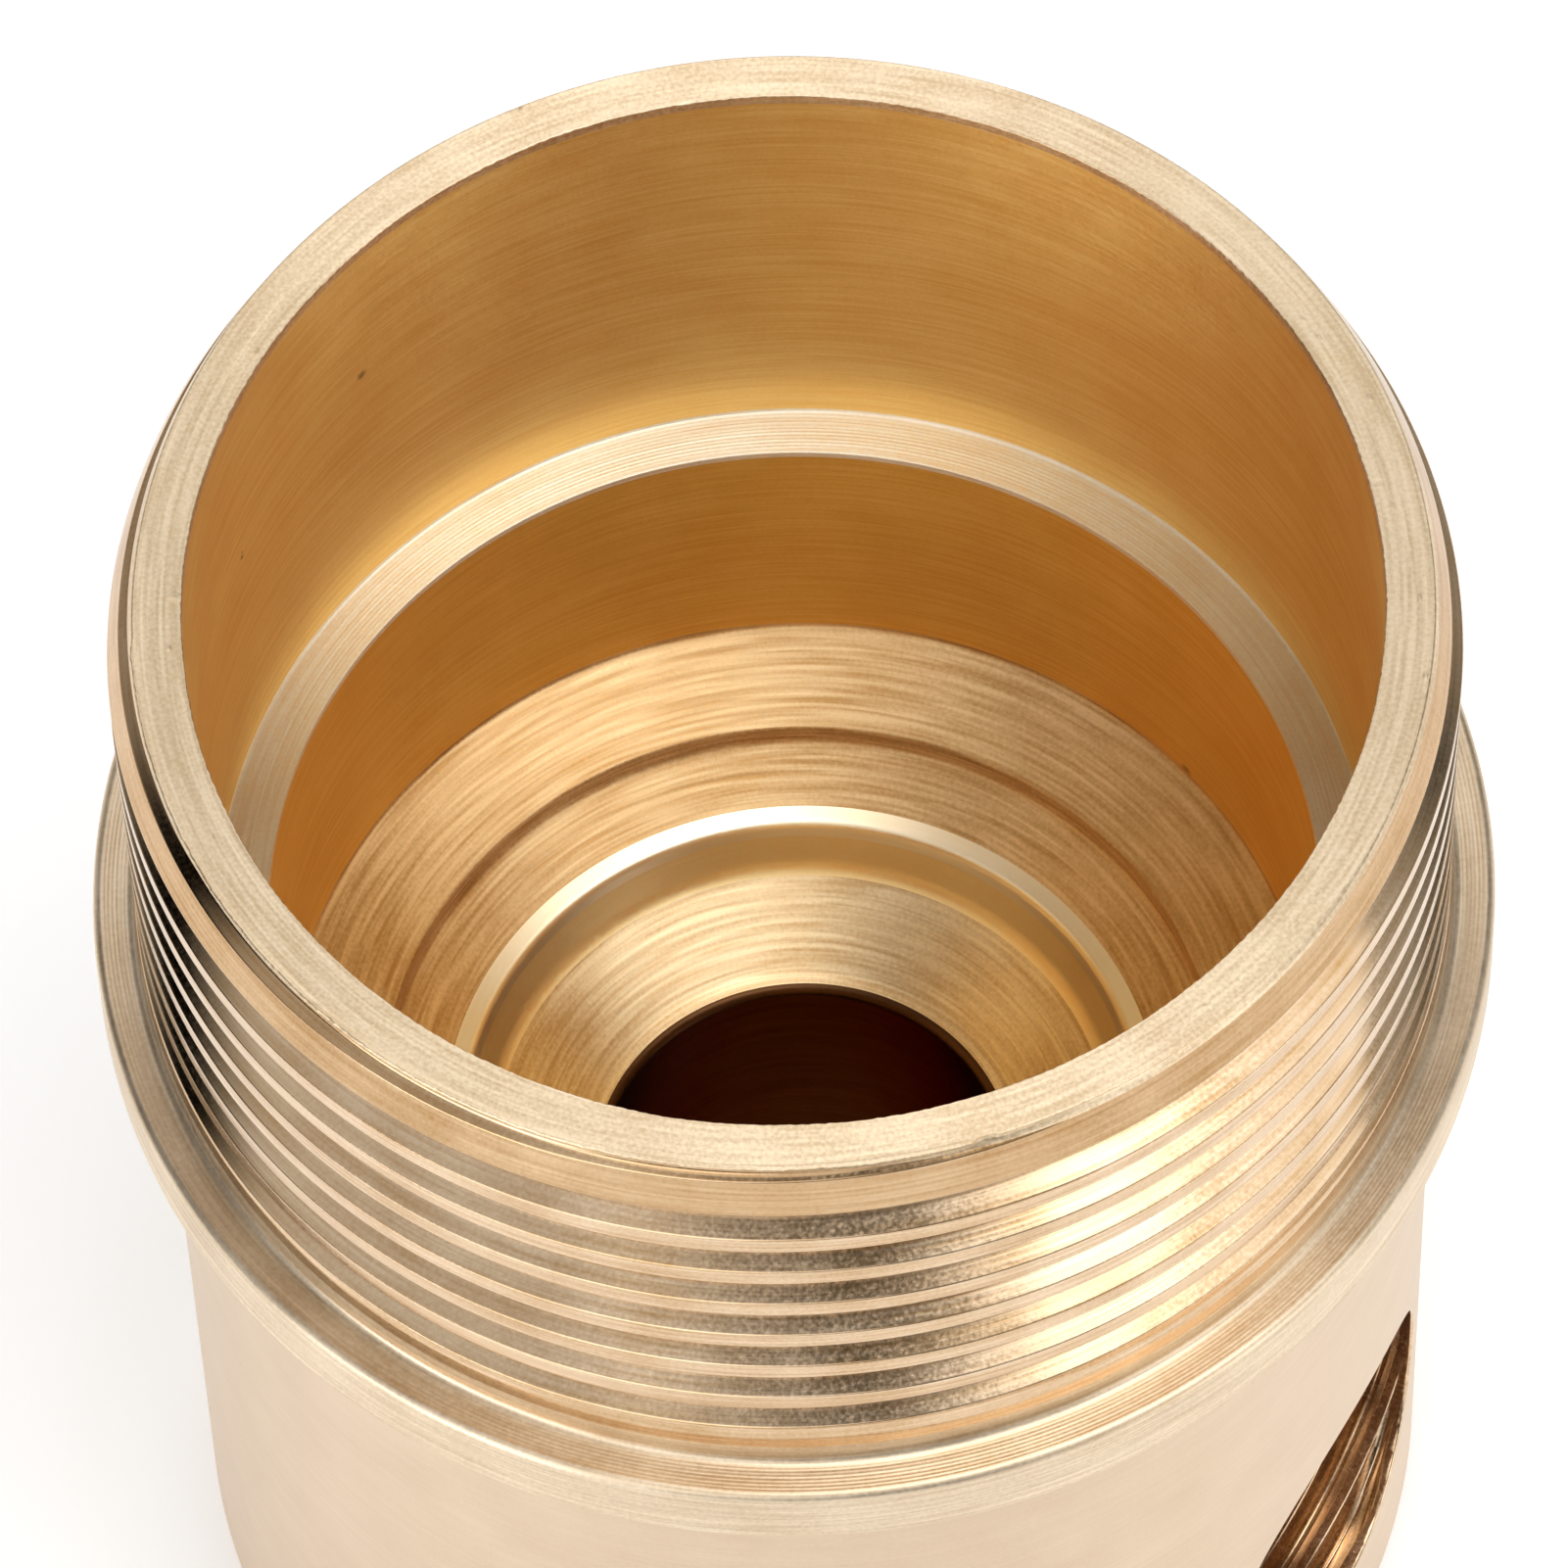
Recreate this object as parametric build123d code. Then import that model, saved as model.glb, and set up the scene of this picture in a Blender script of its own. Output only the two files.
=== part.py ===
from build123d import *
import math
import os

# Turned brass fitting body in one piece: open mouth with a male thread, a
# collar, a plain body with one side port, and a stepped bore right through.
# Millimetres, +Z up, origin on the axis at the flat base.

# ---------------------------------------------------------------- dimensions
HEIGHT = 60.0            # base to rim face

# outside
THREAD_MAJOR_R = 23.90   # male thread, crest radius (47.8 diameter)
THREAD_PITCH = 2.309     # 11 threads per inch, right hand
THREAD_DEPTH = 1.10
THREAD_LAND = 0.80       # flat crest width
FLANK_DEG = 27.5         # half of the 55 degree form
RIM_OUTER_R = 22.86      # outer edge of the rim face
LEAD_IN_DEG = 24.0       # lead-in cone, from the axis
SHOULDER_R = 24.00       # plain band below the thread
SHOULDER_TOP = 42.40
COLLAR_R = 25.57
COLLAR_TOP = 40.60
COLLAR_BOTTOM = 37.60
COLLAR_EDGE = 0.35       # rounded upper edge of the collar
COLLAR_UNDER_EDGE = 0.20
SHOULDER_FILLET = 0.30
BODY_R = 23.60
BASE_EDGE = 0.80

# thread position: centre height of the groove at a known azimuth
GROOVE_Z = 43.65
GROOVE_AZ = 271.5
GROOVE_END_AZ = 150.0    # where the tool starts to pull out

# inside
BORE_R = 21.11           # mouth bore
BORE_FLOOR = 38.90       # step face height
SEAT_BORE_R = 19.25      # second bore
SEAT_BORE_FLOOR = 26.45
LEDGE_R = 15.72          # small step in the sloping floor
LEDGE_TOP = 24.72
LEDGE_LOW = 23.85
LIP_OUTER_R = 13.52      # nearly flat lip round the central well
LIP_OUTER_Z = 22.59
LIP_R = 12.80
LIP_TOP = 22.41
LIP_ROUND = 0.40
WELL_FOOT_R = 11.97      # foot of the well's sloping wall
WELL_FOOT = 20.64
WELL_FOOT_ROUND = 1.10
DISH_R = 8.45            # inner end of the sloping dish
DISH_LOW = 18.62
THROUGH_R = 7.65         # through bore
THROUGH_TOP_ROUND = 0.35
THROUGH_BASE_CHAMFER = 0.60

# side port: tapping hole at the minor diameter, then a drilled passage
PORT_AZ = -30.4          # degrees from +X
PORT_Z = 12.94
PORT_R = 7.188
PORT_DEPTH = 9.5         # from the body's outside
PORT_DRILL_R = 4.25
PORT_EDGE = 0.12

# ------------------------------------------------------------ turned section
lead_in_z = HEIGHT - (THREAD_MAJOR_R - RIM_OUTER_R) / math.tan(math.radians(LEAD_IN_DEG))
through_top = DISH_LOW - 0.08 - THROUGH_TOP_ROUND


def rounded(a, corner, b, radius):
    """Start, middle and end of the arc that rounds a corner between a and b."""
    u = ((a[0] - corner[0]), (a[1] - corner[1]))
    w = ((b[0] - corner[0]), (b[1] - corner[1]))
    lu, lw = math.hypot(*u), math.hypot(*w)
    u, w = (u[0] / lu, u[1] / lu), (w[0] / lw, w[1] / lw)
    half = math.acos(u[0] * w[0] + u[1] * w[1]) / 2
    back = radius / math.tan(half)
    m = (u[0] + w[0], u[1] + w[1])
    lm = math.hypot(*m)
    near = radius / math.sin(half) - radius
    return (
        (corner[0] + u[0] * back, corner[1] + u[1] * back),
        (corner[0] + m[0] / lm * near, corner[1] + m[1] / lm * near),
        (corner[0] + w[0] * back, corner[1] + w[1] * back),
    )


lip_arc = rounded((LIP_OUTER_R, LIP_OUTER_Z), (LIP_R, LIP_TOP), (WELL_FOOT_R, WELL_FOOT), LIP_ROUND)
foot_arc = rounded((LIP_R, LIP_TOP), (WELL_FOOT_R, WELL_FOOT), (DISH_R, DISH_LOW), WELL_FOOT_ROUND)

with BuildPart() as body:
    with BuildSketch(Plane.XZ):
        with BuildLine():
            # outside, from the base up
            Polyline(
                (THROUGH_R + THROUGH_BASE_CHAMFER, 0),
                (BODY_R - BASE_EDGE, 0),
                (BODY_R, BASE_EDGE),
                (BODY_R, COLLAR_BOTTOM),
                (COLLAR_R - COLLAR_UNDER_EDGE, COLLAR_BOTTOM),
                (COLLAR_R, COLLAR_BOTTOM + COLLAR_UNDER_EDGE),
                (COLLAR_R, COLLAR_TOP - COLLAR_EDGE),
            )
            RadiusArc(
                (COLLAR_R, COLLAR_TOP - COLLAR_EDGE),
                (COLLAR_R - COLLAR_EDGE, COLLAR_TOP),
                -COLLAR_EDGE,
            )
            Line((COLLAR_R - COLLAR_EDGE, COLLAR_TOP),
                 (SHOULDER_R + SHOULDER_FILLET, COLLAR_TOP))
            RadiusArc(
                (SHOULDER_R + SHOULDER_FILLET, COLLAR_TOP),
                (SHOULDER_R, COLLAR_TOP + SHOULDER_FILLET),
                SHOULDER_FILLET,
            )
            Polyline(
                (SHOULDER_R, COLLAR_TOP + SHOULDER_FILLET),
                (SHOULDER_R, SHOULDER_TOP),
                (THREAD_MAJOR_R, SHOULDER_TOP + 0.10),
                (THREAD_MAJOR_R, lead_in_z),
                (RIM_OUTER_R, HEIGHT),
                (BORE_R, HEIGHT),
                # inside, from the rim down
                (BORE_R, BORE_FLOOR),
                (SEAT_BORE_R, BORE_FLOOR),
                (SEAT_BORE_R, SEAT_BORE_FLOOR),
                (LEDGE_R, LEDGE_TOP),
                (LEDGE_R, LEDGE_LOW),
                (LIP_OUTER_R, LIP_OUTER_Z),
                lip_arc[0],
            )
            ThreePointArc(*lip_arc)
            Line(lip_arc[2], foot_arc[0])
            ThreePointArc(*foot_arc)
            Polyline(
                foot_arc[2],
                (DISH_R, DISH_LOW),
                (THROUGH_R + THROUGH_TOP_ROUND, DISH_LOW - 0.08),
            )
            ThreePointArc(
                (THROUGH_R + THROUGH_TOP_ROUND, DISH_LOW - 0.08),
                (THROUGH_R + THROUGH_TOP_ROUND * 0.29,
                 DISH_LOW - 0.08 - THROUGH_TOP_ROUND * 0.29),
                (THROUGH_R, through_top),
            )
            Polyline(
                (THROUGH_R, through_top),
                (THROUGH_R, THROUGH_BASE_CHAMFER),
                (THROUGH_R + THROUGH_BASE_CHAMFER, 0),
            )
        make_face()
    revolve(axis=Axis.Z)

# ---------------------------------------------------------------- side port
az = math.radians(PORT_AZ)
port_plane = Plane(origin=(0, 0, PORT_Z), x_dir=(0, 0, 1),
                   z_dir=(math.cos(az), math.sin(az), 0))
port_floor = BODY_R - PORT_DEPTH
drill_cone = (PORT_R - PORT_DRILL_R) * math.tan(math.radians(31))
up = (Align.CENTER, Align.CENTER, Align.MIN)
port_tool = (
    Pos(0, 0, port_floor) * Cylinder(PORT_R, PORT_DEPTH + 4, align=up)
    + Pos(0, 0, port_floor - drill_cone)
    * Cone(PORT_DRILL_R, PORT_R, drill_cone, align=up)
    + Pos(0, 0, 4) * Cylinder(PORT_DRILL_R, port_floor - 4, align=up)
)
fitting = body.part - port_plane.location * port_tool



def on_body(edge):
    return all(abs(math.hypot((edge @ t).X, (edge @ t).Y) - BODY_R) < 1e-4
               for t in (0.2, 0.45, 0.7))


mouth_edges = [
    e for e in fitting.edges()
    if on_body(e) and 5 < e.center().Z < 21 and 1 < e.bounding_box().size.Z < 2 * PORT_R + 0.1
]
if mouth_edges:
    fitting = chamfer(mouth_edges, PORT_EDGE)

# ------------------------------------------------------------- male thread
tan_f = math.tan(math.radians(FLANK_DEG))
open_half = (THREAD_PITCH - THREAD_LAND) / 2
root_half = open_half - THREAD_DEPTH * tan_f
root_r = THREAD_MAJOR_R - THREAD_DEPTH
over = 0.45              # the groove's profile runs on past the crest
end_z = GROOVE_Z + THREAD_PITCH * (GROOVE_END_AZ - GROOVE_AZ) / 360
turns_up = (HEIGHT + open_half + over + 0.3 - end_z) / THREAD_PITCH
groove = Face(Wire.make_polygon([
    Vector(root_r, 0, -root_half),
    Vector(THREAD_MAJOR_R + over, 0, -(open_half + over * tan_f)),
    Vector(THREAD_MAJOR_R + over, 0, open_half + over * tan_f),
    Vector(root_r, 0, root_half),
], close=True))
start = Pos(0, 0, end_z) * Rot(0, 0, GROOVE_END_AZ)

# one turn of the groove at a time, from the lower end up
turn = 0.0
while turn < turns_up - 1e-6:
    n = min(1.0, turns_up - turn)
    path = Wire([Edge.make_helix(THREAD_PITCH, n * THREAD_PITCH, THREAD_MAJOR_R)])
    cut = sweep(groove, path=path, is_frenet=True)
    fitting = fitting - start * Pos(0, 0, turn * THREAD_PITCH) * Rot(0, 0, 360 * turn) * cut
    turn += n

# the tool leaves the groove along a tangent
pull_out = extrude(Pos(0, 0.3, 0) * groove, amount=9.0, dir=(0, -1, 0))
fitting = fitting - start * pull_out

threaded_body = fitting.solids()[0]
threaded_body.label = "threaded_body"

if __name__ == "__main__":
    os.makedirs("parts", exist_ok=True)
    export_step(threaded_body, "parts/threaded_body.step")
    print("volume", round(threaded_body.volume, 1), "valid", threaded_body.is_valid,
          "solids", len(fitting.solids()), "port edges", len(mouth_edges))
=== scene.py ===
import math

import bmesh
import bpy
import numpy as np
from mathutils import Matrix, Vector


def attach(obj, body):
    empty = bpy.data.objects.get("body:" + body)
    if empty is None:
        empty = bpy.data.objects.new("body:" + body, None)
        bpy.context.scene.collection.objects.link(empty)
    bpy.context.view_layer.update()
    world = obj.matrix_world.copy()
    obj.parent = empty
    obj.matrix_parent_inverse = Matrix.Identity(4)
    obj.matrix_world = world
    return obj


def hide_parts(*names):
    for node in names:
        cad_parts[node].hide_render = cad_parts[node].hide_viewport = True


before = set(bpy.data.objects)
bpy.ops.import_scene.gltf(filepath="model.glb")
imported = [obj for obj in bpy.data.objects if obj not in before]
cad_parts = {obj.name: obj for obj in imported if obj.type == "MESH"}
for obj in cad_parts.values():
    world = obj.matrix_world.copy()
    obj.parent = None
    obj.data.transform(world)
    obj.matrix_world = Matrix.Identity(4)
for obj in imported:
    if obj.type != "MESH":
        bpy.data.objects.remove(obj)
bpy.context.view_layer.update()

MM = 0.001

# ------------------------------------------------------------------ sizes, mm
HEIGHT = 60.0
CREST_R, PITCH, DEPTH, LAND = 23.90, 2.309, 1.10, 0.80
ROOT_R = CREST_R - DEPTH
TAN_F = math.tan(math.radians(27.5))
OPEN_HALF = (PITCH - LAND) / 2
ROOT_HALF = OPEN_HALF - DEPTH * TAN_F
RIM_R, BORE_R = 22.86, 21.11
TAN_CONE = math.tan(math.radians(24.0))
LEAD_Z = HEIGHT - (CREST_R - RIM_R) / TAN_CONE
GROOVE_Z, GROOVE_AZ, GROOVE_END = 43.65, 271.5, 150.0
SHOULDER_R, COLLAR_R, BODY_R = 24.00, 25.57, 23.60
PORT_AZ, PORT_Z = -30.4, 12.94
PORT_MINOR, PORT_MAJOR, PORT_PITCH, PORT_FLOOR, PORT_DRILL = 7.188, 8.0, 1.5, 14.1, 4.25
THROUGH_R = 7.65

N = 640                                   # columns round the axis
COLS = PORT_AZ + np.arange(N) * 360.0 / N
rng = np.random.default_rng(20)


# ---------------------------------------------------------------- mesh making
def grid(rows, cols, closed=True):
    i = np.arange(rows - 1)[:, None]
    j = np.arange(cols if closed else cols - 1)[None, :]
    k = (j + 1) % cols
    return np.stack([i * cols + j, i * cols + k, (i + 1) * cols + k, (i + 1) * cols + j], -1).reshape(-1, 4)


def turned(rows, cols=COLS):
    """Points (rows, cols, 3) of a section turned about the axis."""
    rows = np.asarray(rows, float)
    t = np.radians(cols)[None, :]
    r, z = rows[:, 0][:, None], rows[:, 1][:, None]
    return np.stack([r * np.cos(t), r * np.sin(t), z + 0 * t], -1)


def piece(name, blocks, material):
    """One mesh object from blocks of (points, quads), in mm, joined where they meet."""
    verts, faces, base = [], [], 0
    for points, quads in blocks:
        p = np.asarray(points, float).reshape(-1, 3)
        verts.append(p)
        faces.append(np.asarray(quads) + base)
        base += len(p)
    v = np.concatenate(verts)
    q = np.concatenate(faces)
    keep = q != np.roll(q, -1, axis=1)
    same = np.linalg.norm(v[q] - v[np.roll(q, -1, axis=1)], axis=2) > 1e-4
    keep &= same
    count = keep.sum(1)
    q, keep, count = q[count >= 3], keep[count >= 3], count[count >= 3]
    loops = q[keep]
    mesh = bpy.data.meshes.new(name)
    mesh.vertices.add(len(v))
    mesh.vertices.foreach_set("co", (v * MM).astype(np.float32).ravel())
    mesh.loops.add(len(loops))
    mesh.loops.foreach_set("vertex_index", loops.astype(np.int32))
    mesh.polygons.add(len(q))
    starts = np.concatenate([[0], np.cumsum(count)[:-1]])
    mesh.polygons.foreach_set("loop_start", starts.astype(np.int32))
    mesh.polygons.foreach_set("loop_total", count.astype(np.int32))
    mesh.update(calc_edges=True)
    bm = bmesh.new()
    bm.from_mesh(mesh)
    bmesh.ops.remove_doubles(bm, verts=bm.verts, dist=2e-7)
    bmesh.ops.dissolve_degenerate(bm, dist=1e-7, edges=bm.edges)
    loose = [e for e in bm.verts if not e.link_faces]
    if loose:
        bmesh.ops.delete(bm, geom=loose, context="VERTS")
    bm.to_mesh(mesh)
    bm.free()
    mesh.validate()
    mesh.update(calc_edges=True)
    # vertex normals weighted by face area, so large faces stay true beside a small rounding
    nv, npoly, nl = len(mesh.vertices), len(mesh.polygons), len(mesh.loops)
    normal = np.zeros(npoly * 3, np.float32)
    mesh.polygons.foreach_get("normal", normal)
    area = np.zeros(npoly, np.float32)
    mesh.polygons.foreach_get("area", area)
    total = np.zeros(npoly, np.int32)
    mesh.polygons.foreach_get("loop_total", total)
    vi = np.zeros(nl, np.int32)
    mesh.loops.foreach_get("vertex_index", vi)
    w = np.repeat(normal.reshape(-1, 3) * area[:, None], total, axis=0)
    acc = np.stack([np.bincount(vi, w[:, k], nv) for k in range(3)], -1)
    acc /= np.maximum(np.linalg.norm(acc, axis=1), 1e-30)[:, None]
    mesh.polygons.foreach_set("use_smooth", np.ones(npoly, bool))
    mesh.normals_split_custom_set_from_vertices(acc.tolist())
    mesh.materials.append(material)
    obj = bpy.data.objects.new(name, mesh)
    bpy.context.scene.collection.objects.link(obj)
    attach(obj, "root")
    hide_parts("threaded_body")
    print(name, "triangles", int(np.sum(total - 2)))
    return obj


def section(points):
    """Rows of a section. Each point is (r, z, edge rounding, row spacing on the run after it, tag of that run)."""
    P = [np.array(p[:2], float) for p in points]
    cut = []
    for i, p in enumerate(points):
        rad = p[2]
        if i in (0, len(P) - 1) or rad <= 0:
            cut.append((P[i], P[i], None, 0))
            continue
        u, w = P[i - 1] - P[i], P[i + 1] - P[i]
        lu, lw = np.linalg.norm(u), np.linalg.norm(w)
        u, w = u / lu, w / lw
        half = 0.5 * math.acos(max(-1.0, min(1.0, float(u @ w))))
        t = min(rad / math.tan(half), 0.48 * lu, 0.48 * lw)
        rad = t * math.tan(half)
        mid = (u + w) / np.linalg.norm(u + w)
        cut.append((P[i] + u * t, P[i] + w * t, P[i] + mid * rad / math.sin(half), rad))
    rows, tags = [], []

    def add(p, n, tag, s, length):
        rows.append((p[0], p[1], n[0], n[1], s, length))
        tags.append(tag)

    for i in range(len(P)):
        a, b, c, rad = cut[i]
        if c is not None:
            a0, a1 = math.atan2(*(a - c)[::-1]), math.atan2(*(b - c)[::-1])
            d = (a1 - a0 + math.pi) % (2 * math.pi) - math.pi
            steps = 6 if rad > 0.15 else 3
            for k in range(1, steps):
                ang = a0 + d * k / steps
                p = c + rad * np.array([math.cos(ang), math.sin(ang)])
                nn = (p - c) / rad
                prev = b - a
                out = np.array([prev[1], -prev[0]])
                if nn @ out < 0:
                    nn = -nn
                add(p, nn, "", 0, 0)
        if i < len(P) - 1:
            q = cut[i + 1][0]
            d = q - b
            length = float(np.linalg.norm(d))
            if length < 1e-6:
                continue
            d = d / length
            n = np.array([d[1], -d[0]])
            spacing = points[i][3] or 1e9
            k = max(1, int(round(length / spacing)))
            for m in range(k + 1):
                s = length * m / k
                add(b + d * s, n, points[i][4] if len(points[i]) > 4 else "", s, length)
    rows = np.array(rows)
    keep = [0] + [i for i in range(1, len(rows)) if np.linalg.norm(rows[i, :2] - rows[i - 1, :2]) > 1e-6]
    return rows[keep], [tags[i] for i in keep]


def scallop(s, pitch, depth, phase=0.0):
    """Tool marks of a turned face: round-bottomed cuts with a cusp between."""
    f = (s / pitch + phase) % 1.0
    return -depth * (1 - (2 * f - 1) ** 2)


def marks(rows, tags, table):
    """Moves the rows of each tagged run along its normal."""
    out = rows[:, :2].copy()
    for i, tag in enumerate(tags):
        if tag in table:
            s, length = rows[i, 4], rows[i, 5]
            fade = min(1.0, s / 0.05, (length - s) / 0.05)
            out[i] += rows[i, 2:4] * table[tag](s) * max(fade, 0.0)
    return out


# ---------------------------------------------------------------- materials
def material(name):
    m = bpy.data.materials.new(name)
    m.use_nodes = True
    m.node_tree.nodes.clear()
    return m, m.node_tree


class Net:
    """A few shorthands for a node tree."""

    def __init__(self, tree):
        self.t = tree

    def node(self, kind, **props):
        n = self.t.nodes.new(kind)
        for k, v in props.items():
            setattr(n, k, v)
        return n

    def link(self, a, b):
        self.t.links.new(a, b)

    def math(self, op, a, b=None, c=None, clamp=False):
        n = self.node("ShaderNodeMath", operation=op, use_clamp=clamp)
        for i, v in enumerate((a, b, c)):
            if v is None:
                continue
            if isinstance(v, (int, float)):
                n.inputs[i].default_value = v
            else:
                self.link(v, n.inputs[i])
        return n.outputs[0]

    def mix(self, fac, a, b):
        n = self.node("ShaderNodeMix", data_type="RGBA")
        for sock, v in ((n.inputs[0], fac), (n.inputs[6], a), (n.inputs[7], b)):
            if isinstance(v, (int, float)):
                sock.default_value = v
            elif isinstance(v, tuple):
                sock.default_value = (*v, 1.0)
            else:
                self.link(v, sock)
        return n.outputs[2]

    def smooth(self, v, lo, hi, a=0.0, b=1.0):
        n = self.node("ShaderNodeMapRange", interpolation_type="SMOOTHSTEP")
        self.link(v, n.inputs[0])
        for i, k in zip((1, 2, 3, 4), (lo, hi, a, b)):
            n.inputs[i].default_value = k
        return n.outputs[0]


def brass(name, dark, light, rough, aniso=0.6, lines=(6000.0, 160.0, 6.0e-6), grain=(7000.0, 3.0e-6),
          helix=False, tone_line=1.6, tone_grain=0.9, tone_slow=0.9, rough_var=0.10, stains=()):
    """Turned brass: fine tool lines round the axis, a grain, slow changes of tone, a stain or two (x, y, z, radius, strength, mm)."""
    m, t = material(name)
    g = Net(t)
    out = g.node("ShaderNodeOutputMaterial")
    b = g.node("ShaderNodeBsdfPrincipled")
    g.link(b.outputs[0], out.inputs[0])
    b.inputs["Metallic"].default_value = 1.0
    b.inputs["Anisotropic"].default_value = aniso
    b.inputs["Anisotropic Rotation"].default_value = 0.25
    co = g.node("ShaderNodeTexCoord").outputs["Object"]
    sep = g.node("ShaderNodeSeparateXYZ")
    g.link(co, sep.inputs[0])
    x, y, z = sep.outputs
    rad = g.math("SQRT", g.math("ADD", g.math("MULTIPLY", x, x), g.math("MULTIPLY", y, y)))
    if helix:
        # lines that climb with the thread: height less the pitch's share of the turn
        turn = g.math("ARCTAN2", y, x)
        z = g.math("SUBTRACT", z, g.math("MULTIPLY", turn, PITCH * MM / (2 * math.pi)))
    across = g.node("ShaderNodeCombineXYZ")
    g.link(g.math("MULTIPLY", rad, lines[0]), across.inputs[0])
    g.link(g.math("MULTIPLY", z, lines[0]), across.inputs[1])
    g.link(g.math("MULTIPLY", x, lines[1]), across.inputs[2])
    ring = g.node("ShaderNodeTexNoise", noise_dimensions="4D")
    g.link(across.outputs[0], ring.inputs["Vector"])
    g.link(g.math("MULTIPLY", y, lines[1]), ring.inputs["W"])
    ring.inputs["Scale"].default_value = 1.0
    ring.inputs["Detail"].default_value = 1.0
    dots = g.node("ShaderNodeTexNoise")
    g.link(co, dots.inputs["Vector"])
    dots.inputs["Scale"].default_value = grain[0]
    dots.inputs["Detail"].default_value = 1.0
    slow = g.node("ShaderNodeTexNoise")
    g.link(co, slow.inputs["Vector"])
    slow.inputs["Scale"].default_value = 300.0
    slow.inputs["Detail"].default_value = 3.0

    def swing(v, k):
        return g.math("MULTIPLY", g.math("SUBTRACT", v, 0.5), k)

    tone = g.math("ADD", swing(slow.outputs[0], tone_slow), swing(dots.outputs[0], tone_grain))
    tone = g.math("ADD", tone, g.math("ADD", swing(ring.outputs[0], tone_line), 0.5), clamp=True)
    colour = g.mix(tone, dark, light)
    if helix:
        # the lead-in cone was cut by another tool and is duller
        duller = g.node("ShaderNodeMix", data_type="RGBA", blend_type="MULTIPLY")
        g.link(g.smooth(sep.outputs[2], (LEAD_Z - 0.04) * MM, (LEAD_Z + 0.04) * MM), duller.inputs[0])
        g.link(colour, duller.inputs[6])
        duller.inputs[7].default_value = (0.84, 0.77, 0.68, 1.0)
        colour = duller.outputs[2]
    for sx, sy, sz, size, strength in stains:
        away = g.node("ShaderNodeVectorMath", operation="DISTANCE")
        g.link(co, away.inputs[0])
        away.inputs[1].default_value = (sx * MM, sy * MM, sz * MM)
        ragged = g.math("ADD", away.outputs["Value"], swing(dots.outputs[0], size * MM))
        colour = g.mix(g.smooth(ragged, 0.35 * size * MM, 1.1 * size * MM, strength, 0.0), colour, (0.22, 0.11, 0.04))
    g.link(colour, b.inputs["Base Color"])
    r = g.math("ADD", swing(dots.outputs[0], rough_var * 2), swing(slow.outputs[0], rough_var))
    g.link(g.math("ADD", r, rough), b.inputs["Roughness"])
    tan = g.node("ShaderNodeTangent", direction_type="RADIAL", axis="Z")
    g.link(tan.outputs[0], b.inputs["Tangent"])
    height = g.math("ADD", g.math("MULTIPLY", ring.outputs[0], lines[2] / 1.0e-5), g.math("MULTIPLY", dots.outputs[0], grain[1] / 1.0e-5))
    bump = g.node("ShaderNodeBump")
    bump.inputs["Strength"].default_value = 1.0
    bump.inputs["Distance"].default_value = 1.0e-5
    g.link(height, bump.inputs["Height"])
    g.link(bump.outputs[0], b.inputs["Normal"])
    return m


mat_rim = brass("brass_rim", (0.62, 0.46, 0.28), (0.93, 0.76, 0.54), 0.42, aniso=0.5, lines=(6500.0, 260.0, 2.5e-6), grain=(6500.0, 4.0e-6), tone_grain=1.5)
mat_thread = brass("brass_thread", (0.52, 0.31, 0.13), (0.90, 0.70, 0.49), 0.14, aniso=0.6, helix=True, lines=(7000.0, 120.0, 2.5e-6), grain=(6500.0, 0.4e-6), tone_line=1.1, tone_grain=0.5)
# partly painted light: the bore and seat walls get brass pushed to full red and a deeper orange, standing in for the
# glow the walls bounce onto one another; their small dark stains are the metal's own
mat_bore_brass_and_painted_glow = brass("brass_bore_and_painted_glow", (0.90, 0.58, 0.18), (1.0, 0.74, 0.29), 0.47, aniso=0.65, lines=(6500.0, 200.0, 6.0e-6), grain=(7000.0, 3.0e-6), tone_line=2.0,
                 stains=[(-14.99, 14.87, 52.18, 0.26, 0.65), (-19.46, 8.18, 50.74, 0.14, 0.75), (-19.43, 8.24, 50.98, 0.09, 0.6)])
mat_seat_brass_and_painted_glow = brass("brass_seat_and_painted_glow", (0.90, 0.53, 0.11), (1.0, 0.66, 0.19), 0.47, aniso=0.65, lines=(6500.0, 200.0, 6.0e-6), grain=(7000.0, 3.0e-6), tone_line=2.0,
                 stains=[(15.05, 12.00, 26.80, 0.30, 0.55)])
# painted highlight: the step ring's near-white colour carries the pale shine of light off its turned grooves, far
# paler than the brass itself
mat_step_painted_highlight = brass("brass_step_painted_highlight", (0.92, 0.78, 0.60), (1.0, 0.97, 0.86), 0.46, aniso=0.8, lines=(6500.0, 200.0, 3.0e-6), grain=(7000.0, 2.5e-6))
mat_floor = brass("brass_floor", (0.56, 0.33, 0.13), (0.88, 0.65, 0.36), 0.45, aniso=0.80, lines=(6000.0, 260.0, 5.0e-6), grain=(6500.0, 2.5e-6), tone_line=2.2)
# partly painted highlight: the lip's colour is brass paled towards the white shine along its rounded land
mat_lip_brass_and_painted_highlight = brass("brass_lip_and_painted_highlight", (0.94, 0.76, 0.50), (1.0, 0.92, 0.72), 0.34, aniso=0.6, lines=(6000.0, 200.0, 0.5e-6), grain=(6500.0, 0.3e-6), tone_line=0.5, tone_grain=0.3, rough_var=0.04)
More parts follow.
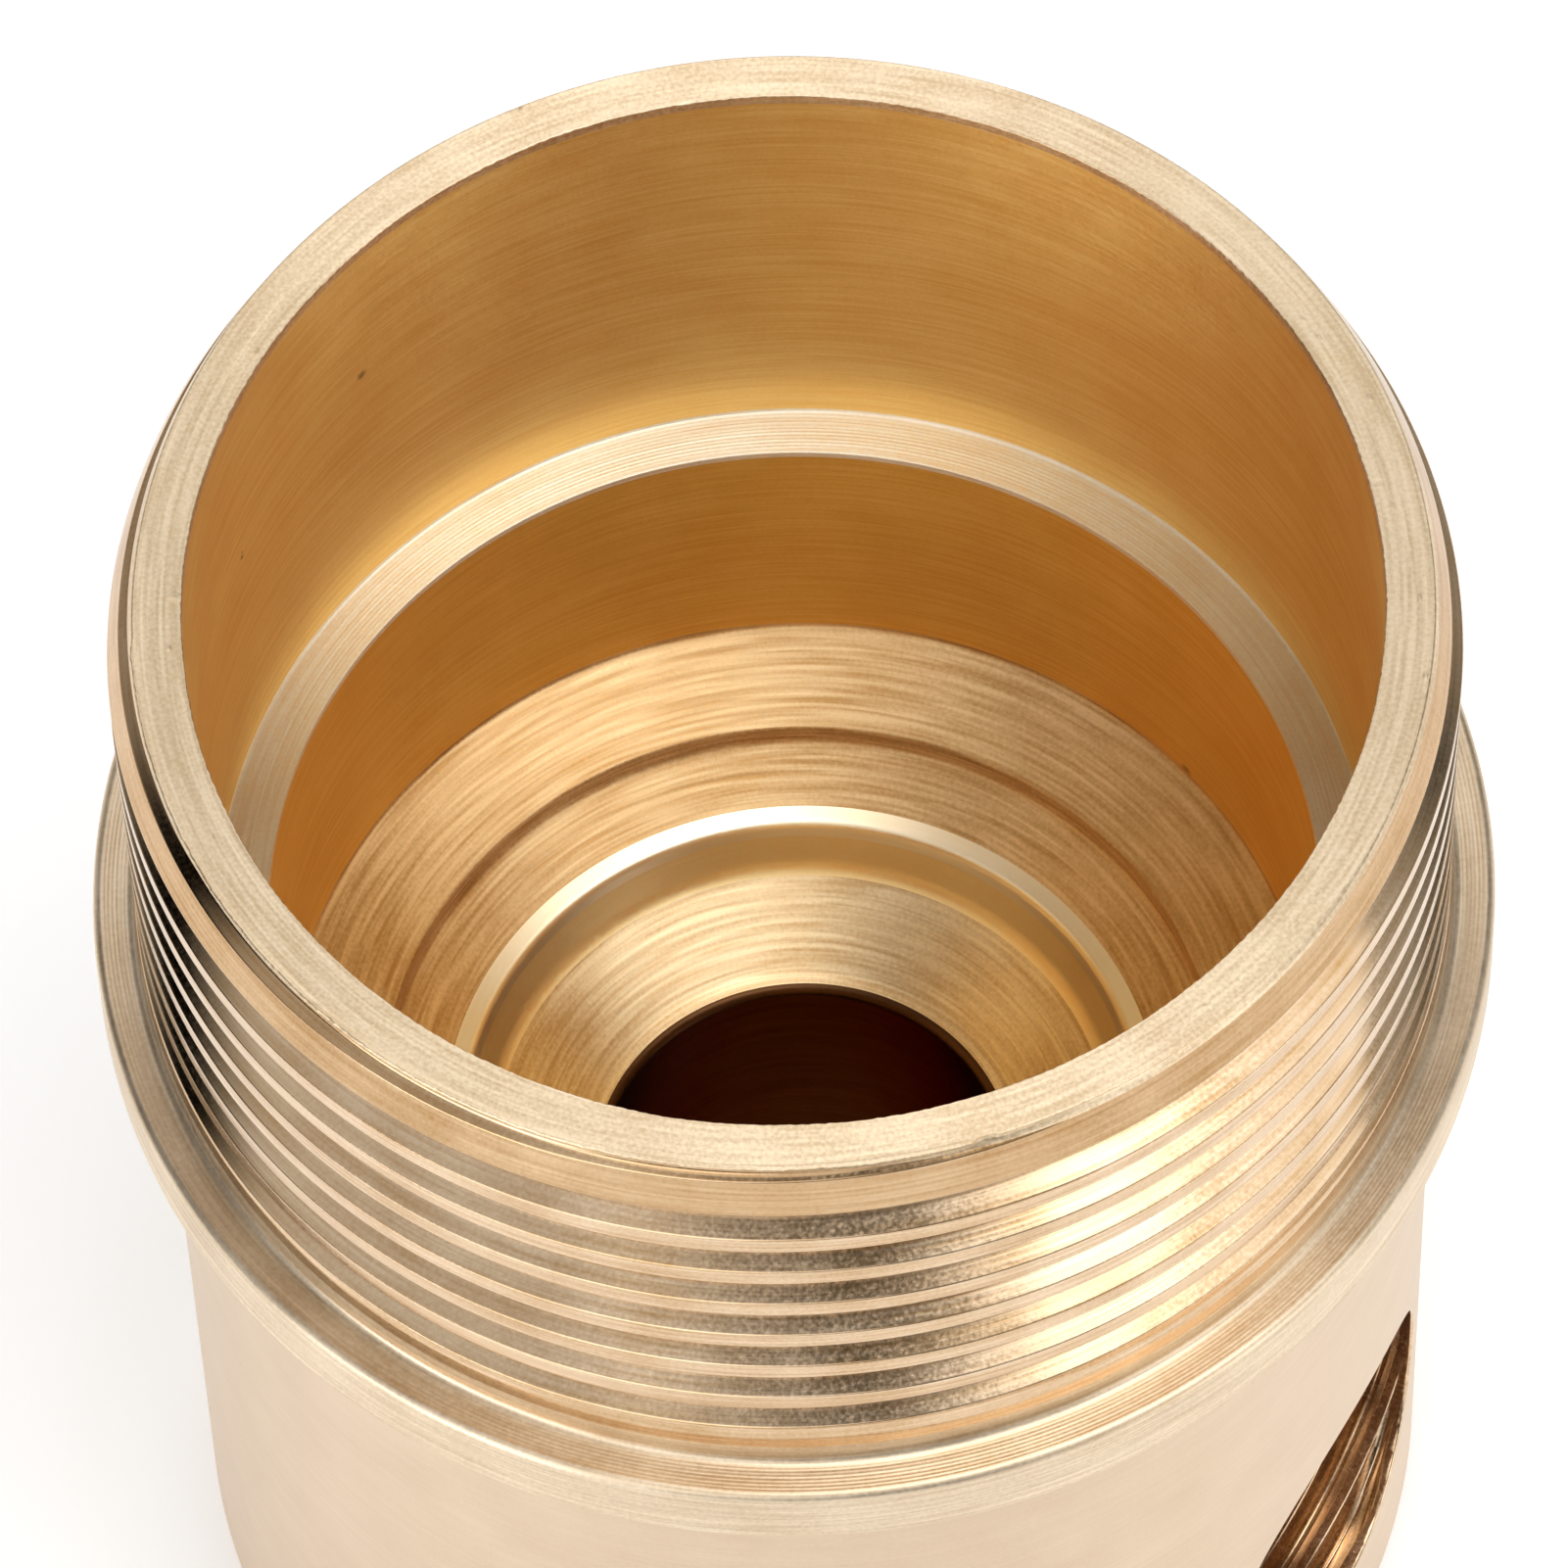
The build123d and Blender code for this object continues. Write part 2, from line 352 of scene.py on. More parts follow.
# painted reflection: the well's full, bright orange stands in for the light reflected onto the steep wall under the
# lip
mat_well_painted_reflection = brass("brass_well_painted_reflection", (1.0, 0.74, 0.36), (1.0, 0.86, 0.50), 0.42, aniso=0.4, lines=(6000.0, 200.0, 1.5e-6), grain=(6500.0, 0.8e-6), tone_line=0.8)
mat_dish = brass("brass_dish", (0.62, 0.42, 0.21), (0.92, 0.75, 0.48), 0.38, aniso=0.85, lines=(6000.0, 260.0, 5.0e-6), grain=(6500.0, 2.0e-6), tone_line=2.2)
mat_collar = brass("brass_collar", (0.62, 0.47, 0.31), (0.88, 0.74, 0.56), 0.40, aniso=0.5, lines=(6500.0, 160.0, 2.0e-6), grain=(6000.0, 3.0e-6))
mat_body = brass("brass_body", (0.62, 0.46, 0.31), (0.80, 0.65, 0.49), 0.37, aniso=0.3, lines=(5000.0, 200.0, 0.6e-6), grain=(6000.0, 1.0e-6), tone_line=0.4, tone_grain=0.5, tone_slow=0.6)
# painted shade: the through bore's near-black brown colour and its brown specular tint stand in for the dark of the
# deep hole, not for the metal's own colour
mat_through_painted_shade = brass("brass_through_painted_shade", (0.062, 0.027, 0.011), (0.105, 0.047, 0.019), 0.35, aniso=0.6, lines=(6500.0, 200.0, 2.0e-6))
for node in mat_through_painted_shade.node_tree.nodes:
    if node.type == "BSDF_PRINCIPLED":
        node.inputs["Specular Tint"].default_value = (0.34, 0.14, 0.06, 1.0)
mat_port = brass("brass_port", (0.52, 0.35, 0.19), (0.80, 0.60, 0.42), 0.22, aniso=0.2, lines=(5000.0, 200.0, 0.5e-6))


# -------------------------------------------------------------- male thread
def soft_min(a, b, k):
    h = np.clip(0.5 + 0.5 * (b - a) / k, 0, 1)
    return b * (1 - h) + a * h - k * h * (1 - h)


def plain_radius(z):
    """The turned blank under the thread: shoulder, crest cylinder, lead-in cone."""
    r = soft_min(np.full_like(z, CREST_R), CREST_R - (z - LEAD_Z) * TAN_CONE, 0.03)
    s = np.clip((42.62 - z) / 0.30, 0, 1)
    return r + (SHOULDER_R - CREST_R) * s * s * (3 - 2 * s)


def groove_centre(unwound, k):
    return GROOVE_Z + PITCH * ((unwound - GROOVE_AZ) / 360.0 + k)


def thread_radius(unwound, z):
    """Radius at an unwound azimuth, from GROOVE_END to GROOVE_END + 360, and height."""
    r = plain_radius(z)
    for k in range(-1, 9):
        along = unwound + 360.0 * k - GROOVE_END
        out = np.clip(-along, 0, 60)
        scale = 1 / np.cos(np.radians(out))
        d = np.abs(z - groove_centre(unwound, k))
        cut = ROOT_R + (d - ROOT_HALF) / TAN_F
        cut = -soft_min(-cut, np.full_like(cut, -ROOT_R), 0.10)
        cut = np.where(along < -24, 99.0, cut * scale)
        r = soft_min(r, cut, 0.022)
    return r


Z_LOW, Z_TOP, RIM_LOW = 41.60, 59.66, 59.55
start = int(round((GROOVE_END - PORT_AZ) / (360.0 / N)))
thread_cols = PORT_AZ + (start + np.arange(N + 1)) * 360.0 / N


def edge_heights(unwound, k):
    """Heights where groove k meets the blank, below and above."""
    zc = groove_centre(unwound, k)
    low = zc - OPEN_HALF
    high = zc + OPEN_HALF
    # on the cone the meeting points move towards the groove
    zl = (CREST_R + LEAD_Z * TAN_CONE - ROOT_R - (zc - ROOT_HALF) / TAN_F) / (TAN_CONE - 1 / TAN_F)
    zh = (CREST_R + LEAD_Z * TAN_CONE - ROOT_R + (zc + ROOT_HALF) / TAN_F) / (TAN_CONE + 1 / TAN_F)
    low = np.where(low > LEAD_Z, np.clip(zl, low, zc - ROOT_HALF), low)
    high = np.where(high > LEAD_Z, np.clip(zh, zc + ROOT_HALF, high), high)
    return zc, low, high


strip = []
E = 0.028
for k in range(-1, 9):
    zc, low, high = edge_heights(thread_cols, k)
    under = edge_heights(thread_cols, k - 1)[2]
    for f in (0.0,):
        strip.append(under + E)
    for f in (0.33, 0.67):
        strip.append(under + (low - under) * f)
    strip.append(low - E)
    strip.append(low)
    strip.append(low + E)
    a, b = low + E, zc - ROOT_HALF - 0.05
    for f in (0.5,):
        strip.append(a + (b - a) * f)
    for d in (-ROOT_HALF - 0.05, -ROOT_HALF + 0.02, 0.0, ROOT_HALF - 0.02, ROOT_HALF + 0.05):
        strip.append(zc + d)
    a, b = zc + ROOT_HALF + 0.05, high - E
    for f in (0.5,):
        strip.append(a + (b - a) * f)
    strip.append(high - E)
    strip.append(high)
strip = np.clip(np.array(strip), Z_LOW, Z_TOP)
radius = thread_radius(np.broadcast_to(thread_cols, strip.shape), strip)
t = np.radians(thread_cols)[None, :]
thread_points = np.stack([radius * np.cos(t), radius * np.sin(t), strip], -1)
piece("male_thread", [(thread_points, grid(len(strip), N + 1, closed=False))], mat_thread)


def top_edge(cols, z):
    """The thread piece's own radius at a height, at any azimuths."""
    unwound = GROOVE_END + (np.asarray(cols) - GROOVE_END) % 360.0
    return thread_radius(unwound, np.full(len(cols), float(z)))


# ----------------------------------------------------------------- rim face
NR = 2 * N
rim_cols = PORT_AZ + np.arange(NR) * 360.0 / NR


def chorded(r):
    """Odd columns lie on the chord between their neighbours, so the edge meets a piece with half the columns."""
    r = r.copy()
    half = math.radians(360.0 / NR)
    r[1::2] = 0.5 * (r[0::2] + np.roll(r[0::2], -1)) * math.cos(half)
    return r


def wobble(cols, waves, seed):
    """A smooth random curve round the axis, from -1 to 1."""
    g = np.random.default_rng(seed)
    a = np.radians(cols)
    out = np.zeros(len(cols))
    for w in waves:
        out += g.normal() * np.cos(w * a + g.uniform(0, 2 * math.pi))
    return out / math.sqrt(len(waves) / 2) / 2


# (azimuth, radius, half width round, half width across, height): small burrs and pits
RIM_MARKS = [
    (223.5, 22.80, 0.35, 0.05, 0.030), (229.5, 22.90, 0.50, 0.06, 0.030), (231.5, 22.92, 0.30, 0.05, 0.030),
    (234.0, 22.90, 0.70, 0.06, 0.028), (236.2, 22.91, 0.25, 0.05, 0.030), (252.3, 22.80, 0.35, 0.06, 0.026),
    (253.6, 22.90, 0.50, 0.06, 0.030), (254.8, 22.86, 0.25, 0.05, 0.030), (260.6, 22.84, 0.30, 0.06, 0.030),
    (347.5, 22.76, 0.20, 0.10, 0.016), (356.2, 22.67, 0.07, 0.18, 0.014), (10.4, 21.45, 0.07, 0.30, 0.012),
    (340.0, 21.12, 0.30, 0.03, 0.020), (28.5, 21.13, 0.40, 0.03, 0.020), (36.0, 21.13, 0.25, 0.03, 0.018),
    (40.0, 21.13, 0.25, 0.03, 0.018), (48.9, 21.13, 0.30, 0.03, 0.020), (62.7, 21.13, 0.25, 0.03, 0.018),
    (73.0, 21.13, 0.25, 0.03, 0.018), (97.7, 21.14, 0.60, 0.04, -0.040), (140.2, 21.13, 0.40, 0.03, 0.022),
    (142.6, 21.14, 0.30, 0.03, 0.022), (145.5, 21.13, 0.35, 0.03, 0.020), (148.0, 21.13, 0.30, 0.03, 0.022),
    (149.2, 21.50, 0.25, 0.12, -0.030), (177.5, 21.33, 0.22, 0.16, -0.035), (113.0, 22.80, 0.30, 0.07, -0.050),
    (309.6, 22.03, 0.16, 0.05, -0.045), (313.6, 22.16, 0.16, 0.05, -0.045), (325.0, 22.20, 0.18, 0.05, -0.045),
    (349.4, 22.70, 0.20, 0.05, -0.045), (357.5, 22.30, 0.18, 0.05, -0.045), (7.5, 21.74, 0.16, 0.04, -0.040),
    (19.4, 22.27, 0.16, 0.05, -0.045), (27.3, 21.78, 0.15, 0.04, -0.040), (29.8, 21.70, 0.15, 0.04, -0.040),
    (183.0, 21.60, 0.16, 0.05, -0.045), (278.0, 21.53, 0.16, 0.05, -0.040), (204.0, 21.95, 0.14, 0.04, -0.035),
    (66.0, 22.10, 0.15, 0.04, -0.035), (131.0, 21.80, 0.15, 0.04, -0.035),
]


def ramp(x, a, b):
    f = np.clip((x - a) / (b - a), 0, 1)
    return f * f * (3 - 2 * f)


def window(cols, a, b, soft):
    """1 between two azimuths, easing off outside over soft degrees."""
    d = (np.asarray(cols) - a) % 360.0
    w = (b - a) % 360.0
    return np.where(d <= w, 1.0, np.clip(1 - np.minimum(d - w, 360.0 - d) / soft, 0, 1))


lip = window(rim_cols, 183.0, 284.5, 1.2)          # a thin burr pushed outward
lip2 = window(rim_cols, 250.0, 283.5, 2.0)         # where it stands up too
chip = window(rim_cols, 285.2, 286.6, 0.5)
burr_out = lip * (0.085 + 0.018 * wobble(rim_cols, range(20, 120, 7), 31) + 0.012 * wobble(rim_cols, range(120, 500, 17), 32))
edge_r = top_edge(rim_cols, 59.99) + burr_out - 0.10 * chip + 0.006 * wobble(rim_cols, range(90, 500, 11), 3)
rim_rows, rim_z = [chorded(top_edge(rim_cols, Z_TOP))], [np.full(NR, Z_TOP)]
for f, z in ((0.15, 59.76), (0.55, 59.84), (0.95, 59.91), (1.0, 59.955)):
    rim_rows.append(top_edge(rim_cols, z) + f * burr_out - 0.10 * chip * f)
    rim_z.append(np.full(NR, z))
crest = 0.006 + 0.022 * lip2 + 0.010 * lip
for d, z in ((0.006, 59.962), (0.022, 59.972), (0.050, 59.970)):
    rim_rows.append(edge_r - d)
    rim_z.append(z + crest * min(1.0, d / 0.022))
count = 36
ragged = wobble(rim_cols, range(60, 420, 9), 5) * 0.014 + wobble(rim_cols, range(12, 60, 5), 6) * 0.012
inner = BORE_R + 0.035 + ragged
line_depth = 0.0042 * (0.55 + 0.45 * np.maximum(window(rim_cols, 170, 215, 25), window(rim_cols, 325, 22, 25)))
for i in range(count):
    f = (i + 0.5) / count
    r = (edge_r - 0.09) * (1 - f) + inner * f
    depth = line_depth * scallop(r - BORE_R, 0.168, 1.0, 0.3) + 0.0006 * rng.normal()
    burr = crest * ramp(r, edge_r - 0.26, edge_r - 0.12)
    rim_rows.append(r)
    rim_z.append(59.970 + depth + burr)
for d, z in ((0.004, 59.966), (-0.012, 59.952), (-0.024, 59.925), (-0.032, 59.88)):
    rim_rows.append(inner + d)
    rim_z.append(np.full(NR, z))
rim_rows.append(0.6 * np.full(NR, BORE_R) + 0.4 * (inner - 0.035))
rim_z.append(np.full(NR, 59.76))
rim_rows.append(chorded(np.full(NR, BORE_R)))
rim_z.append(np.full(NR, RIM_LOW))
rr, rz = np.array(rim_rows), np.array(rim_z)
for az, rad, wide, deep, high in RIM_MARKS:
    d = (rim_cols - az + 180.0) % 360.0 - 180.0
    bump = np.exp(-(d[None, :] / wide) ** 2 - ((rr - rad) / deep) ** 2)
    bump[0] = bump[-1] = 0
    rz = rz + high * bump
rz = np.minimum(rz, 59.9995)
t = np.radians(rim_cols)[None, :]
piece("rim_face", [(np.stack([rr * np.cos(t), rr * np.sin(t), rz], -1), grid(len(rr), NR))], mat_rim)

# --------------------------------------------- mouth bore, step, second bore
EDGE_IN = 0.15
wall_rows = np.array([(BORE_R, RIM_LOW), (BORE_R, 56.0), (BORE_R, 50.0), (BORE_R, 44.0), (BORE_R, 38.90 + EDGE_IN)])
piece("mouth_bore", [(turned(wall_rows), grid(len(wall_rows), N))], mat_bore_brass_and_painted_glow)

rows, tags = section([
    (BORE_R, 38.90 + EDGE_IN, 0, 0, ""),
    (BORE_R, 38.90, EDGE_IN * 0.9, 0.0222, "step"),
    (19.25, 38.90, 0.05, 0.2, ""),
    (19.25, 38.60, 0, 0),
])
step_noise = rng.normal(size=400) * 0.0012
xy = marks(rows, tags, {
    "step": lambda s: scallop(s, 0.155, 0.0095, 0.2) + step_noise[int(s / 0.0775) % 400],
})
piece("seat_step", [(turned(xy), grid(len(xy), N))], mat_step_painted_highlight)

seat_rows = np.array([(19.25, 38.60), (19.25, 35.0), (19.25, 31.0), (19.25, 26.65)])
piece("seat_bore", [(turned(seat_rows), grid(len(seat_rows), N))], mat_seat_brass_and_painted_glow)

# ------------------------------------------------------------- stepped floor


def three_point(a, b, c, steps):
    """Points of the arc through a, b and c."""
    a, b, c = (np.array(p, float) for p in (a, b, c))
    d = 2 * (a[0] * (b[1] - c[1]) + b[0] * (c[1] - a[1]) + c[0] * (a[1] - b[1]))
    ux = ((a @ a) * (b[1] - c[1]) + (b @ b) * (c[1] - a[1]) + (c @ c) * (a[1] - b[1])) / d
    uy = ((a @ a) * (c[0] - b[0]) + (b @ b) * (a[0] - c[0]) + (c @ c) * (b[0] - a[0])) / d
    o = np.array([ux, uy])
    r = np.linalg.norm(a - o)
    ang = [math.atan2(*(p - o)[::-1]) for p in (a, b, c)]
    d1 = (ang[1] - ang[0] + math.pi) % (2 * math.pi) - math.pi
    d2 = (ang[2] - ang[1] + math.pi) % (2 * math.pi) - math.pi
    total = d1 + d2
    return [o + r * np.array([math.cos(ang[0] + total * i / steps), math.sin(ang[0] + total * i / steps)])
            for i in range(steps + 1)]


rows, tags = section([
    (19.25, 26.65, 0, 1.0, ""),
    (19.25, 26.45, 0.14, 0.10, "cone1"),
    (15.72, 24.72, 0.16, 0.3, ""),
    (15.70, 23.84, 0.32, 0.09, "cone2"),
    (13.52, 22.59, 0, 0.12, "lip"),
    (12.80, 22.41, 0.40, 0.12, ""),
    (11.97, 20.64, 1.10, 0.105, "dish"),
    (8.45, 18.62, 0.30, 0.15, ""),
    (8.00, 18.54, 0, 0),
])
g1 = rng.normal(size=400) * 0.0020
g2 = rng.normal(size=400) * 0.0022
g3 = rng.normal(size=400) * 0.0022
floor_rows = marks(rows, tags, {
    "cone1": lambda s: scallop(s, 0.45, 0.005, 0.1) + g1[int(s / 0.15) % 400],
    "cone2": lambda s: scallop(s, 0.36, 0.008, 0.6) + g2[int(s / 0.14) % 400],
    "dish": lambda s: scallop(s, 0.42, 0.008, 0.4) + g3[int(s / 0.17) % 400],
})
first_lip = int(np.argmin(np.hypot(rows[:, 0] - 13.52, rows[:, 1] - 22.59)))
first_well = len(tags) - 1 - tags[::-1].index("lip")
while rows[first_well, 1] > 22.02:
    first_well += 1
first_dish = tags.index("dish")
cones, lip_part = floor_rows[:first_lip + 1], floor_rows[first_lip:first_well + 1]
well, dish = floor_rows[first_well:first_dish + 1], floor_rows[first_dish:]
piece("floor_cones", [(turned(cones), grid(len(cones), N))], mat_floor)
piece("floor_lip", [(turned(lip_part), grid(len(lip_part), N))], mat_lip_brass_and_painted_highlight)
piece("floor_well", [(turned(well), grid(len(well), N))], mat_well_painted_reflection)
piece("floor_dish", [(turned(dish), grid(len(dish), N))], mat_dish)


# ------------------------------------------------- side port's own directions
AX = math.radians(PORT_AZ)
OUT = np.array([math.cos(AX), math.sin(AX), 0.0])
SIDE = np.array([-math.sin(AX), math.cos(AX), 0.0])
UP = np.array([0.0, 0.0, 1.0])


def port_point(rho, phi, s):
    """A point at radius rho and angle phi (0 is up) round the port's axis, s from the main axis."""
    rho, phi, s = np.broadcast_arrays(rho, phi, s)
    return (s[..., None] * OUT + (rho * np.sin(phi))[..., None] * SIDE
            + (rho * np.cos(phi))[..., None] * UP + np.array([0, 0, PORT_Z]))


def frame_of(half_cols, step_deg, z_low, z_high, nv, cyl):
    """Outline of a patch round the port on a cylinder: lateral and height offsets, and the azimuth of each point."""
    cols = np.arange(-half_cols, half_cols + 1) * step_deg
    zs = np.linspace(z_low, z_high, nv + 1)
    path = [(c, z_high) for c in cols]                        # along the top, to the greater azimuth
    path += [(cols[-1], z) for z in zs[::-1][1:]]
    path += [(c, z_low) for c in cols[::-1][1:]]
    path += [(cols[0], z) for z in zs[1:-1]]
    path = np.array(path)
    lateral = cyl * np.sin(np.radians(path[:, 0]))
    return path, lateral, path[:, 1] - PORT_Z


def on_cylinder(lateral, height, cyl):
    a = AX + np.arcsin(np.clip(lateral / cyl, -1, 1))
    return np.stack([cyl * np.cos(a), cyl * np.sin(a), PORT_Z + height], -1)


# body patch outline gives the angles used all through the port
BH, BV = 44, 40
BODY_LOW, BODY_HIGH = PORT_Z - 9.6, PORT_Z + 9.6
path, lat, hgt = frame_of(BH, 360.0 / N, BODY_LOW, BODY_HIGH, BV, BODY_R)
phi = np.arctan2(lat, hgt)
K = len(phi)

P_OPEN = (PORT_PITCH - 0.375) / 2
P_ROOT = P_OPEN - (PORT_MAJOR - PORT_MINOR) * math.tan(math.radians(30))
PORT_PHASE = 0.30
phi_up = np.unwrap(phi)
turns = phi_up / (2 * math.pi)


def port_centre(turn, k):
    """Where groove k lies along the port's axis. Right hand: it moves inward as phi grows."""
    return PORT_FLOOR + 1.2 + PORT_PITCH * (k + PORT_PHASE - turn)


def port_radius(turn, s):
    r = np.full(np.broadcast(turn, s).shape, PORT_MINOR)
    # the thread runs out just inside the mouth, so the mouth itself is plain and round
    mouth = np.sqrt(BODY_R ** 2 - (PORT_MINOR * np.sin(2 * math.pi * turn)) ** 2)
    fade = np.clip((mouth - s - 0.35) / 0.9, 0, 1)
    fade = fade * fade * (3 - 2 * fade)
    for k in range(-1, 9):
        d = np.abs(s - port_centre(turn, k))
        cut = PORT_MAJOR - (d - P_ROOT) / math.tan(math.radians(30))
        cut = soft_min(cut, np.full_like(cut, PORT_MAJOR), 0.05)
        # the tap's first threads are shallow near the floor
        taper = np.clip((s - PORT_FLOOR - 0.6) / 2.0, 0, 1) * (PORT_MAJOR - PORT_MINOR)
        cut = np.minimum(cut, PORT_MINOR + taper * fade)
        r = -soft_min(-r, -cut, 0.02)
    return r


turn_at = (phi_up - phi_up[0]) / (2 * math.pi)      # 0 to just under 1, along the columns
phase0 = phi_up[0] / (2 * math.pi)


def mouth_depth(turn, edge):
    """s of the mouth at each column: where the wall meets the body's cylinder, less the edge break."""
    s = np.full(len(turn), BODY_R)
    for _ in range(60):
        rho = port_radius(turn, s) + edge
        s = 0.5 * s + 0.5 * (np.sqrt(BODY_R ** 2 - (rho * np.sin(phi)) ** 2) - edge)
    return s


EDGE = 0.09
turn_col = turn_at + phase0
s_mouth = mouth_depth(turn_col, EDGE)
rho_mouth = port_radius(turn_col, s_mouth)
rho_body = rho_mouth + EDGE
s_body = np.sqrt(BODY_R ** 2 - (rho_body * np.sin(phi)) ** 2)

# wall rows follow the thread; one more column closes the turn
pc = np.concatenate([turn_col, [turn_col[0] + 1.0]])
pphi = np.concatenate([phi, [phi[0]]])
s_lim = np.concatenate([s_mouth, [s_mouth[0]]])
rows_s = []
for k in range(-1, 10):
    c = port_centre(pc, k)
    for d in (-P_OPEN - 0.03, -P_OPEN, -P_OPEN + 0.03, -(P_OPEN + P_ROOT) / 2, -P_ROOT - 0.02, 0.0, P_ROOT + 0.02,
              (P_OPEN + P_ROOT) / 2, P_OPEN - 0.03, P_OPEN, P_OPEN + 0.03, P_OPEN + 0.19):
        rows_s.append(c + d)
rows_s = np.array(rows_s)
rows_s = np.clip(rows_s, PORT_FLOOR + 0.02, s_lim[None, :])
rho = port_radius(np.broadcast_to(pc, rows_s.shape), rows_s)
wall = port_point(rho, np.broadcast_to(pphi, rho.shape), rows_s)
wall_quads = grid(len(rows_s), K + 1, closed=False)

# mouth edge: body surface, one row between, wall
e0 = port_point(rho_body, phi, s_body)
e1 = port_point(rho_mouth + 0.3 * EDGE, phi, s_mouth + 0.72 * (s_body - s_mouth))
e2 = port_point(rho_mouth, phi, s_mouth)
edge_points = np.stack([e2, e1, e0])

# floor cone and passage into the through bore
cone_len = (PORT_MINOR - PORT_DRILL) * math.tan(math.radians(31))
inner_rows = [(PORT_MINOR, PORT_FLOOR + 0.02), (PORT_MINOR - 0.02, PORT_FLOOR), (6.3, None), (5.4, None), (PORT_DRILL + 0.02, None)]
cone_pts = []
for rho_i, s_i in inner_rows:
    if s_i is None:
        s_i = PORT_FLOOR - (PORT_MINOR - rho_i) / (PORT_MINOR - PORT_DRILL) * cone_len
    cone_pts.append(port_point(np.full(K, rho_i), phi, np.full(K, s_i)))
s_end = np.sqrt(THROUGH_R ** 2 - (PORT_DRILL * np.sin(phi)) ** 2)
s_top = PORT_FLOOR - cone_len - 0.02
for f in (0.0, 0.25, 0.5, 0.75, 1.0):
    cone_pts.append(port_point(np.full(K, PORT_DRILL), phi, s_top * (1 - f) + s_end * f))
cone_pts = np.stack(cone_pts)[::-1]


def facing(points, quads, towards):
    """Turns all the quads over when, taken together, they face away from towards(centre)."""
    p = points.reshape(-1, 3)
    n = np.cross(p[quads[:, 2]] - p[quads[:, 0]], p[quads[:, 3]] - p[quads[:, 1]])
    c = p[quads].mean(1)
    if (np.sum(n * towards(c), axis=1)).sum() < 0:
        return quads[:, ::-1]
    return quads


def to_port_axis(c):
    s = c @ OUT
    axis = s[:, None] * OUT + np.array([0, 0, PORT_Z])
    return axis - c


piece("side_port", [
    (wall, facing(wall, wall_quads, to_port_axis)),
    (edge_points, facing(edge_points, grid(3, K), to_port_axis)),
    (cone_pts, facing(cone_pts, grid(len(cone_pts), K), lambda c: to_port_axis(c) * 0.2 + OUT)),
], mat_port)


def patch(path, lat, hgt, rim_lat, rim_hgt, cyl, rings):
    """Rings between a hole's rim and the outline round it, all on one cylinder."""
    out = []
    for f in rings:
        out.append(on_cylinder(rim_lat * (1 - f) + lat * f, rim_hgt * (1 - f) + hgt * f, cyl))
    return np.stack(out)


# ------------------------------------------------- collar, body and base
body_patch = patch(path, lat, hgt, rho_body * np.sin(phi), rho_body * np.cos(phi), BODY_R,
                   np.concatenate([[0, 0.03, 0.08], np.linspace(0.18, 1, 9)]))
mid_cols = PORT_AZ + np.arange(BH, N - BH + 1) * 360.0 / N
mid_z = np.linspace(BODY_LOW, BODY_HIGH, BV + 1)
mid = turned(np.stack([np.full(BV + 1, BODY_R), mid_z], -1), mid_cols)
rows, tags = section([
    (8.25, 0, 0, 3.0, ""),
    (22.80, 0, 0.10, 0.3, ""),
    (BODY_R, 0.80, 0.10, 1.5, ""),
    (BODY_R, BODY_LOW, 0, 0),
])
base = rows[:, :2]
under = np.array([(BODY_R, BODY_HIGH), (BODY_R, 26.0), (BODY_R, 30.0), (BODY_R, 33.5), (BODY_R, 36.80)])
rows, tags = section([
    (BODY_R, 36.80, 0, 3.0, ""),
    (BODY_R, 37.60, 0.12, 0.5, ""),
    (COLLAR_R - 0.20, 37.60, 0.10, 0.2, ""),
    (COLLAR_R, 37.80, 0.10, 0.8, ""),
    (COLLAR_R, 40.60, 0.33, 0.030, "face"),
    (SHOULDER_R, 40.60, 0.28, 0.4, ""),
    (SHOULDER_R, Z_LOW, 0, 0),
])
g4 = rng.normal(size=200) * 0.0012
collar = marks(rows, tags, {
    "face": lambda s: scallop(s, 0.150, 0.0150, 0.1) + g4[int(s / 0.0625) % 200],
})
axis_out = lambda c: c * np.array([1, 1, 0])
piece("collar", [(turned(collar), grid(len(collar), N))], mat_collar)
piece("body", [
    (turned(base), grid(len(base), N)),
    (mid, grid(BV + 1, len(mid_cols), closed=False)),
    (body_patch, facing(body_patch, grid(len(body_patch), K), axis_out)),
    (turned(under), grid(len(under), N)),
], mat_body)

# ------------------------------------------------------------- through bore
NT = N // 2
thr_cols = PORT_AZ + np.arange(NT) * 360.0 / NT
TH, TV = 42, 44
T_LOW, T_HIGH = PORT_Z - 4.85, PORT_Z + 4.85
tpath, tlat, thgt = frame_of(TH, 360.0 / NT, T_LOW, T_HIGH, TV, THROUGH_R)
thr_patch = patch(tpath, tlat, thgt, PORT_DRILL * np.sin(phi), PORT_DRILL * np.cos(phi), THROUGH_R, np.linspace(0, 1, 7))
mid_cols = PORT_AZ + np.arange(TH, NT - TH + 1) * 360.0 / NT
mid_z = np.linspace(T_LOW, T_HIGH, TV + 1)[::-1]
mid = turned(np.stack([np.full(TV + 1, THROUGH_R), mid_z], -1), mid_cols)
top = three_point((8.00, 18.54), (7.7515, 18.4385), (THROUGH_R, 18.19), 6)
top = np.array(top + [np.array([THROUGH_R, T_HIGH])])
rows, tags = section([(THROUGH_R, T_LOW, 0, 3.0, ""), (THROUGH_R, 0.60, 0.08, 0.3, ""), (8.25, 0, 0, 0)])
low = rows[:, :2]
to_axis = lambda c: -c * np.array([1, 1, 0])
